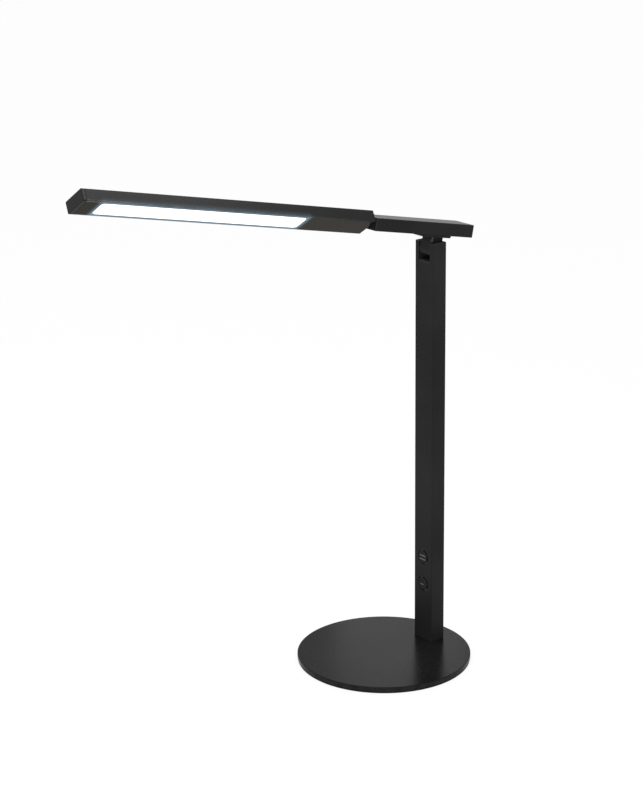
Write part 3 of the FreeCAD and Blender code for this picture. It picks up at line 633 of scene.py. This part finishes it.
def modelPost():
    low, high = levelBox("post_tube")
    past = post["past"]
    tube = startBlock("postTube", low, high)
    soften(tube, runsAlong(2), post["corner"], post["cornerSteps"])
    soften(tube, inPlane(2, high.z), post["topEdge"], post["edgeSteps"])
    wall = Vector((post["wall"], post["wall"], -past))
    carve(tube, startBlock("cavity", low + wall, high - wall))
    half = post["slotWidth"] / 2
    front, rear = low.x, high.x
    above = high.z + past
    slotSill = high.z - post["slotDepth"]
    reliefSill = high.z - post["reliefDepth"]
    carve(tube, startBlock("slot", Vector((front - past, -half, slotSill)),
                           Vector((front + post["wall"] + past, half, above))))
    carve(tube, startBlock("relief", Vector((rear - post["wall"] - past, -half, reliefSill)),
                           Vector((rear + past, half, above))))
    holes = []
    for name in ("upper_button", "lower_button"):
        buttonLow, buttonHigh = levelBox(name)
        holes.append((Vector((front, 0, (buttonLow.z + buttonHigh.z) / 2)), post["buttonHole"]))
    socketLow, socketHigh = levelBox("dc_socket")
    holes.append((Vector((rear, 0, (socketLow.z + socketHigh.z) / 2)), post["inletHole"]))
    reach = Vector((post["wall"] + past, 0, 0))
    for middle, radius in holes:
        carve(tube, startRound("hole", radius, middle - reach, middle + reach, post["holeSides"]))
    screwLow, screwHigh = levelBox("yoke_screws")
    slope = (post["screwHead"] - post["screwNeck"]) / post["wall"] * past
    for y in (screwLow.y + post["screwInset"], screwHigh.y - post["screwInset"]):
        middle = Vector((rear, y, (screwLow.z + screwHigh.z) / 2))
        carve(tube, startRound("sink", post["screwHead"] + slope, middle + sideX * past,
                               middle - sideX * (post["wall"] + past), post["screwSides"],
                               post["screwNeck"] - slope))
    for middle, radius in holes:
        soften(tube, onRing(middle, radius, 0), post["holeEdge"], post["edgeSteps"])
    slotRim = within(Vector((front, -half, slotSill)), Vector((front, half, high.z)))
    soften(tube, slotRim, post["slotEdge"], post["edgeSteps"])

    def upperEdge(normal, spot):   # softened edges round the hinge slot that look up get painted highlight and coat gloss
        flattest, steepest = post["highlightSlope"]
        return 1.0 if flattest < normal.z < steepest and spot.z > slotSill - past else 0.0

    clearSlivers(tube)
    dress(tube, finishes["postSatinCoat"], "stand", ["post_tube"], highlightShare=upperEdge)


modelPost()


# Push buttons: dished caps with a guide flange, and light marks on them

button = {"radius": 6.6 * mm, "rimRound": 0.5 * mm, "rimSteps": 4, "flangeLip": 0.9 * mm,
          "flange": 1.0 * mm, "dishRadius": 60 * mm, "dishDepth": 0.25 * mm, "dishRings": 6, "sides": 72}
marks = {"upper_button": {"width": 8.9 * mm, "rows": ((0.0, 1.35 * mm), (0.0, -2.55 * mm))},
         "lower_button": {"width": 4.4 * mm, "rows": ((0.9 * mm, -0.8 * mm),)}}
markShape = {"height": 1.0 * mm, "corner": 0.4 * mm, "cornerSteps": 4, "thick": 0.05 * mm, "along": 24,
             "across": 4, "standOff": 2 * mm}


def modelButton(name, body):
    low, high = levelBox(name)
    middle = (low + high) / 2
    crown = Vector((low.x, 0, middle.z))
    flangeFront = Vector((high.x - button["flange"], 0, middle.z))
    cap = startRound(name + "Cap", button["radius"], crown, flangeFront, button["sides"])
    soften(cap, inPlane(0, crown.x), button["rimRound"], button["rimSteps"])
    pick(cap, "FACE", facing(-sideX))
    dishEdge = math.sqrt(2 * button["dishRadius"] * button["dishDepth"])
    radius = button["radius"] - button["rimRound"]
    depth = 0.0
    for ring in range(button["dishRings"]):
        nextRadius = dishEdge * (1 - ring / button["dishRings"])
        nextDepth = button["dishDepth"] - nextRadius ** 2 / (2 * button["dishRadius"])
        bpy.ops.mesh.inset(thickness=radius - nextRadius, depth=depth - nextDepth)
        radius, depth = nextRadius, nextDepth
    pick(cap, "FACE", facing(sideX))
    bpy.ops.mesh.inset(thickness=button["flangeLip"], depth=0, use_outset=True)
    pick(cap, "FACE", facing(sideX))
    bpy.ops.mesh.extrude_region_move(TRANSFORM_OT_translate={"value": (button["flange"], 0, 0)})
    bpy.ops.mesh.select_all(action="SELECT")
    bpy.ops.mesh.normals_make_consistent(inside=False)
    dress(cap, finishes["buttonMoulding"], body, [name])
    for count, (across, up) in enumerate(marks[name]["rows"]):
        place = crown + sideY * across + sideZ * up
        modelMark(f"{name}Mark{count + 1}", cap, place, marks[name]["width"], body)


def modelMark(name, cap, place, width, body):   # a printed bar that follows the dish
    clearSelection()
    bpy.ops.mesh.primitive_grid_add(
        x_subdivisions=markShape["across"], y_subdivisions=markShape["along"], size=1,
        location=place - sideX * markShape["standOff"], rotation=(0, -math.pi / 2, 0))
    bar = bpy.context.object
    bar.name = name
    bar.scale = (markShape["height"], width, 1)
    bpy.ops.object.transform_apply(location=True, rotation=True, scale=True)
    halfWidth = width / 2 - tiny
    halfHeight = markShape["height"] / 2 - tiny
    pick(bar, "VERT", lambda vert: abs(vert.co.y - place.y) > halfWidth
         and abs(vert.co.z - place.z) > halfHeight)
    bpy.ops.mesh.bevel(offset=markShape["corner"], segments=markShape["cornerSteps"], affect="VERTICES",
                       clamp_overlap=False)
    hold(bar)
    wrap = bar.modifiers.new("follow", "SHRINKWRAP")
    wrap.wrap_method = "PROJECT"
    wrap.use_project_x = True
    wrap.use_positive_direction = True
    wrap.use_negative_direction = True
    wrap.target = cap
    skin = bar.modifiers.new("ink", "SOLIDIFY")
    skin.thickness = markShape["thick"]
    skin.offset = 0
    for step in (wrap, skin):
        bpy.ops.object.modifier_apply(modifier=step.name)
    dress(bar, finishes["markInk"], body)


for buttonName in ("upper_button", "lower_button"):
    modelButton(buttonName, buttonName)


# Arm: a shallow box, open below where its cover sits

arm = {"wall": 1.6 * mm, "edge": 0.8 * mm, "edgeSteps": 4, "shaftHole": 3.3 * mm, "holeSides": 48,
       "past": 1.0 * mm}


def modelArm():
    low, high = levelBox("arm_housing", armTurn)
    shell = startBlock("armShell", low, high)
    soften(shell, lambda edge: True, arm["edge"], arm["edgeSteps"])
    pocketLow = low + Vector((arm["wall"], arm["wall"], -arm["past"]))
    carve(shell, startBlock("pocket", pocketLow, high - Vector((arm["wall"],) * 3)))
    axis = Vector((low.x, 0, (low.z + high.z) / 2))
    carve(shell, startRound("shaftHole", arm["shaftHole"], axis - sideX * arm["past"],
                            axis + sideX * (arm["wall"] + arm["past"]), arm["holeSides"]))
    dress(shell, finishes["armSatinCoat"], "arm", ["arm_housing"], armTurn, standingEdge)


modelArm()


# Hinge, swivel pad and arm cover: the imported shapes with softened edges

softParts = {
    "hingeYoke": {"node": "hinge_yoke", "finish": "yokeCoat", "body": "stand", "slot": "hinge_black",
                  "edge": 0.15 * mm},
    "hingeTongue": {"node": "hinge_tongue", "finish": "tongueCoat", "body": "tongue", "slot": "hinge_black",
                    "edge": 0.12 * mm, "turn": armTurn, "highlightShare": standingEdge},
    "swivelPad": {"node": "swivel_pad", "finish": "trimMoulding", "body": "arm", "slot": "trim_black",
                  "edge": 0.3 * mm, "turn": armTurn},
    "armCover": {"node": "arm_cover", "finish": "trimMoulding", "body": "arm", "slot": "trim_black",
                 "edge": 0.15 * mm, "turn": armTurn},
}
for partName, part in softParts.items():
    turn = part.get("turn", level)
    dress(softCopy(part["node"], partName, part["edge"], turn), finishes[part["finish"]], part["body"],
          [part["node"]], turn, part.get("highlightShare", noPaintedHighlight))


# Head: a drawn channel, an end block and an end cap, an underside panel and the lit diffuser

head = {"wall": 1.4 * mm, "rim": 2.3 * mm, "edge": 1.1 * mm, "edgeProfile": 0.35, "edgeSteps": 4,
        "capEdge": 0.4 * mm, "capSteps": 1, "seamEdge": 0.35 * mm, "lipEdge": 0.25 * mm, "fineSteps": 2,
        "shaftHole": 3.02 * mm, "shaftSides": 48, "shaftSeat": 17 * mm, "wireHole": 1.8 * mm,
        "wireSides": 32, "plugGap": 0.1 * mm, "plugRoot": 0.5 * mm, "plugWall": 1.2 * mm,
        "armEndHighlight": 0.15, "highlightSlope": -0.1, "past": 1.0 * mm}


def modelHeadShell():
    low, high = levelBox("head_housing", headTurn)
    shell = startBlock("headShell", low, high)
    soften(shell, runsAlong(0), head["edge"], head["edgeSteps"], head["edgeProfile"])
    soften(shell, inPlane(0, low.x), head["seamEdge"], head["fineSteps"])
    wall, rim, past = head["wall"], head["rim"], head["past"]
    panelTop = levelBox("head_panel", headTurn)[1].z
    carve(shell, startBlock("channel", at(low + Vector((-past, wall, 0)), z=panelTop),
                            high + Vector((past, -wall, -wall))))
    carve(shell, startBlock("opening", low + Vector((-past, rim, -past)),
                            at(high + Vector((past, -rim, 0)), z=panelTop + wall)))
    lip = high.y - rim

    def onLip(edge):
        return abs(abs(edge.verts[0].co.y) - lip) < tiny

    soften(shell, both(inPlane(2, low.z), runsAlong(0), onLip), head["lipEdge"], head["fineSteps"])

    def lowerEdge(normal, spot):   # the lip and its lower edges get painted highlight and coat gloss, stronger towards the tip
        share = (spot.x - low.x) / (high.x - low.x)
        return 1 + share * (head["armEndHighlight"] - 1) if normal.z < head["highlightSlope"] else 0.0

    clearSlivers(shell)
    dress(shell, finishes["headSatinCoat"], "head", ["head_housing"], headTurn, lowerEdge)


def modelHeadEnd(name, node, outward):   # outward is -1 for the cap at the tip, 1 for the block at the arm
    low, high = levelBox(node, headTurn)
    barLow, barHigh = levelBox("head_housing", headTurn)
    seam = barLow.x if outward < 0 else barHigh.x
    face = low.x if outward < 0 else high.x
    inner = high.x if outward < 0 else low.x
    faceLow = Vector((min(seam, face), barLow.y, barLow.z))
    faceHigh = Vector((max(seam, face), barHigh.y, barHigh.z))
    plate = startBlock(name, faceLow, faceHigh)
    soften(plate, runsAlong(0), head["edge"], head["edgeSteps"], head["edgeProfile"])
    soften(plate, inPlane(0, face), head["capEdge"], head["capSteps"])
    if outward < 0:
        soften(plate, inPlane(0, seam), head["seamEdge"], head["fineSteps"])
    panelTop = levelBox("head_panel", headTurn)[1].z
    side = head["wall"] + head["plugGap"]
    plugLow = Vector((min(seam, inner), barLow.y + side, panelTop + tiny))
    plugHigh = Vector((max(seam, inner), barHigh.y - side, barHigh.z - side))
    if outward < 0:
        plugLow.x -= head["plugRoot"]
    else:
        plugHigh.x += head["plugRoot"]
    plug = startBlock("plug", plugLow, plugHigh)
    if outward < 0:
        rim = head["plugWall"]
        carve(plug, startBlock("hollow", plugLow + Vector((head["plugRoot"], rim, rim)),
                               plugHigh + Vector((head["past"], -rim, -rim))))
    carve(plate, plug, "UNION")
    if outward > 0:
        axis = Vector((face, 0, (barLow.z + barHigh.z) / 2))
        carve(plate, startRound("shaft", head["shaftHole"], axis + sideX * head["past"],
                                axis - sideX * head["shaftSeat"], head["shaftSides"]))
        carve(plate, startRound("wireWay", head["wireHole"], axis, at(axis, x=inner - head["past"]),
                                head["wireSides"]))
    dress(plate, finishes["trimMoulding"], "head", [node], headTurn)


window = {"margin": 3.8 * mm, "flangeLip": 2.0 * mm, "corner": 4.0 * mm, "cornerSteps": 8,
          "panelEdge": 0.3 * mm, "panelSteps": 3, "sharpAngle": 1.0, "lensGap": 0.15 * mm,
          "lensEdge": 0.2 * mm, "lensSteps": 3, "lensRecess": 0.3 * mm}


def windowBox():   # the panel's window, from the diffuser's flange behind it
    flangeLow, flangeHigh = levelBox("diffuser", headTurn)
    barLow, barHigh = levelBox("head_housing", headTurn)
    low = Vector((flangeLow.x + window["flangeLip"], barLow.y + window["margin"], barLow.z))
    high = Vector((flangeHigh.x - window["flangeLip"], barHigh.y - window["margin"], barHigh.z))
    return low, high


def roundedBlock(name, low, high, corner):
    block = startBlock(name, low, high)
    soften(block, runsAlong(2), corner, window["cornerSteps"])
    return block


def modelPanel():
    low, high = levelBox("head_panel", headTurn)
    plate = startBlock("headPanel", low, high)
    cutLow, cutHigh = windowBox()
    past = head["past"]
    carve(plate, roundedBlock("window", at(cutLow, z=low.z - past), at(cutHigh, z=high.z + past),
                              window["corner"]))

    def sharp(edge):
        return len(edge.link_faces) == 2 and edge.calc_face_angle(0) > window["sharpAngle"]

    soften(plate, both(inPlane(2, low.z), sharp), window["panelEdge"], window["panelSteps"])
    dress(plate, finishes["panelMoulding"], "head", ["head_panel"], headTurn)


# tint and reach of the painted glow round the window
spill = {"tint": (0.18, 0.275, 0.35), "reach": 6.5 * mm}


def windowSpace(tree, coords):   # coordinates from the window's middle, level with the head
    low, high = windowBox()
    back = headTurn.inverted()
    middle = at((low + high) / 2, z=low.z)
    turn = addNode(tree, "ShaderNodeMapping", {"Rotation": back.to_euler(),
                                               "Location": back.translation - middle})
    tree.links.new(coords.outputs["Object"], turn.inputs["Vector"])
    return turn.outputs["Vector"], (high - low) / 2


def addLensSpill(finish):
    tree = finish.node_tree
    shader = tree.nodes["Principled BSDF"]
    where, half = windowSpace(tree, addNode(tree, "ShaderNodeTexCoord"))
    glow = placeGroup(tree, lensSpill, {"Vector": where},
                      {"HalfLength": half.x, "HalfWidth": half.y, "Reach": spill["reach"]})
    tree.links.new(mixColour(tree, glow.outputs["Mask"], (0.0, 0.0, 0.0), spill["tint"]),
                   shader.inputs["Emission Color"])
    shader.inputs["Emission Strength"].default_value = 1.0


lensLook = {"core": (1.0, 1.0, 1.0), "rim": (0.16, 0.2, 0.62), "rimWidth": 0.9 * mm, "strength": 1.15,
            "cloud": (0.9, 0.95, 1.0), "cloudShare": 0.06, "deep": (0.86, 0.87, 0.88),
            "pale": (0.92, 0.93, 0.94), "grain": 1200.0, "rough": (0.45, 0.6), "bite": 0.2,
            "relief": 0.03 * mm}


def lensFinish():   # opal sheet lit from inside, cooler and dimmer where it meets the frame
    look = lensLook
    finish, tree, shader, coords = newFinish("opalLit")
    where, half = windowSpace(tree, coords)
    apart = addNode(tree, "ShaderNodeSeparateXYZ")
    tree.links.new(where, apart.inputs[0])
    gaps = []
    for axis, reach in (("X", half.x), ("Y", half.y)):
        gaps.append(mathNode(tree, "SUBTRACT", reach, mathNode(tree, "ABSOLUTE", apart.outputs[axis])))
    nearest = mathNode(tree, "MINIMUM", *gaps)
    lit = rangeNode(tree, nearest, (0.0, look["rimWidth"]))
    glow = mixColour(tree, lit, look["rim"], look["core"])
    grain = placeGroup(tree, coatGrain, {"Vector": coords.outputs["Object"]}, {"Scale": look["grain"]})
    haze = mathNode(tree, "MULTIPLY", grain.outputs["Cloud"], look["cloudShare"])
    tree.links.new(mixColour(tree, haze, glow, look["cloud"]), shader.inputs["Emission Color"])
    tree.links.new(mixColour(tree, grain.outputs["Height"], look["deep"], look["pale"]),
                   shader.inputs["Base Color"])
    sheen = rangeNode(tree, grain.outputs["Height"], effects["grainSpan"], look["rough"])
    tree.links.new(sheen, shader.inputs["Roughness"])
    relief = addNode(tree, "ShaderNodeBump", {"Strength": look["bite"], "Distance": look["relief"]})
    tree.links.new(grain.outputs["Height"], relief.inputs["Height"])
    tree.links.new(relief.outputs["Normal"], shader.inputs["Normal"])
    shader.inputs["Emission Strength"].default_value = look["strength"]
    return finish


def modelDiffuser():
    flangeLow, flangeHigh = levelBox("diffuser", headTurn)
    panelTop = levelBox("head_panel", headTurn)[1].z
    low, high = windowBox()
    gap = Vector((window["lensGap"], window["lensGap"], 0))
    faceZ = low.z + window["lensRecess"]
    backZ = flangeHigh.z - window["lensEdge"]
    lens = roundedBlock("diffuserLens", at(low + gap, z=faceZ), at(high - gap, z=backZ),
                        window["corner"] - window["lensGap"])
    soften(lens, inPlane(2, faceZ), window["lensEdge"], window["lensSteps"])
    carve(lens, startBlock("flange", at(flangeLow, z=panelTop), flangeHigh), "UNION")
    dress(lens, lensFinish(), "head", ["diffuser"], headTurn)


# painted glow round the window on the head's coat and panel
for finishName in ("headSatinCoat", "panelMoulding"):
    addLensSpill(finishes[finishName])
modelHeadShell()
modelHeadEnd("headEndCap", "head_end_cap", -1)
modelHeadEnd("headEndBlock", "head_end_block", 1)
modelPanel()
modelDiffuser()
print("head ready")


# Stage: pale floor, soft light, camera at the photograph's angle

stage = {"floorSize": 60.0, "floorDrop": 0.05 * mm, "floorTone": (0.95, 0.95, 0.95), "floorRough": 0.9,
         "whiteShare": 0.86, "skyLight": 0.9}
lamps = {
    "topSoftbox": {"place": (-0.3, 0.3, 2.1), "aim": (-0.05, 0, 0.3), "size": 1.2, "power": 7},
    "tipSoftbox": {"place": (0.06, -0.22, 0.92), "aim": (-0.345, 0, 0.53), "size": 0.3, "power": 1.85},
    "backSoftbox": {"place": (0.28, 0.31, 0.19), "aim": (0.03, 0.0, 0.0), "size": 0.17, "power": 0.12},
    "edgeSoftbox": {"place": (-1.1, -0.9, 0.42), "aim": (0, 0, 0.42), "size": 0.5, "power": 2.0},
}
view = {"place": (-1.2850, -1.5990, 0.9287), "forward": (0.5746, 0.7610, -0.3012), "roll": -0.645,
        "focalPixels": 2143.25, "imageHeight": 800, "sensor": 36.0}


def seenDirectly(tree):   # 1 for camera, mirror and see-through rays
    path = addNode(tree, "ShaderNodeLightPath")
    seen = mathNode(tree, "ADD", path.outputs["Is Camera Ray"], path.outputs["Is Glossy Ray"], clamp=True)
    return mathNode(tree, "ADD", seen, path.outputs["Is Transmission Ray"], clamp=True)


def setFloor():
    clearSelection()
    floorLevel = cadLow.z - stage["floorDrop"]
    bpy.ops.mesh.primitive_plane_add(size=stage["floorSize"], location=(0, 0, floorLevel))
    floor = bpy.context.object
    floor.name = "studioFloor"
    finish, tree, shader, coords = newFinish("floorPaper")
    shader.inputs["Base Color"].default_value = (*stage["floorTone"], 1)
    shader.inputs["Roughness"].default_value = stage["floorRough"]
    shader.inputs["Specular IOR Level"].default_value = 0.0
    white = addNode(tree, "ShaderNodeEmission", {"Color": (1, 1, 1, 1), "Strength": 1.0})
    blend = addNode(tree, "ShaderNodeMixShader")
    tree.links.new(mathNode(tree, "MULTIPLY", seenDirectly(tree), stage["whiteShare"]), blend.inputs[0])
    tree.links.new(shader.outputs[0], blend.inputs[1])
    tree.links.new(white.outputs[0], blend.inputs[2])
    tree.links.new(blend.outputs[0], tree.nodes["Material Output"].inputs["Surface"])
    floor.data.materials.append(finish)


def setSky():
    world = bpy.data.worlds.new("studioSky")
    bpy.context.scene.world = world
    world.use_nodes = True
    tree = world.node_tree
    sky = tree.nodes["Background"]
    tone = rangeNode(tree, seenDirectly(tree), (0, 1), (stage["skyLight"], 1.0))
    sky.inputs["Color"].default_value = (1, 1, 1, 1)
    tree.links.new(tone, sky.inputs["Strength"])


def setLamps():
    for name, lamp in lamps.items():
        light = bpy.data.lights.new(name, "AREA")
        light.energy = lamp["power"]
        light.size = lamp["size"]
        holder = bpy.data.objects.new(name, light)
        bpy.context.scene.collection.objects.link(holder)
        holder.location = lamp["place"]
        holder.visible_camera = False
        beam = Vector(lamp["aim"]) - Vector(lamp["place"])
        holder.rotation_euler = beam.to_track_quat("-Z", "Y").to_euler()


def setCamera():
    lens = bpy.data.cameras.new("photoCamera")
    lens.sensor_width = view["sensor"]
    lens.lens = view["focalPixels"] * view["sensor"] / view["imageHeight"]
    camera = bpy.data.objects.new("photoCamera", lens)
    bpy.context.scene.collection.objects.link(camera)
    camera.location = view["place"]
    aim = Vector(view["forward"]).to_track_quat("-Z", "Y")
    camera.rotation_euler = (aim @ Quaternion(sideZ, math.radians(view["roll"]))).to_euler()
    bpy.context.scene.camera = camera


setFloor()
setSky()
setLamps()
setCamera()
bpy.context.scene.view_settings.view_transform = "Standard"
print("stage ready")

clearSelection()
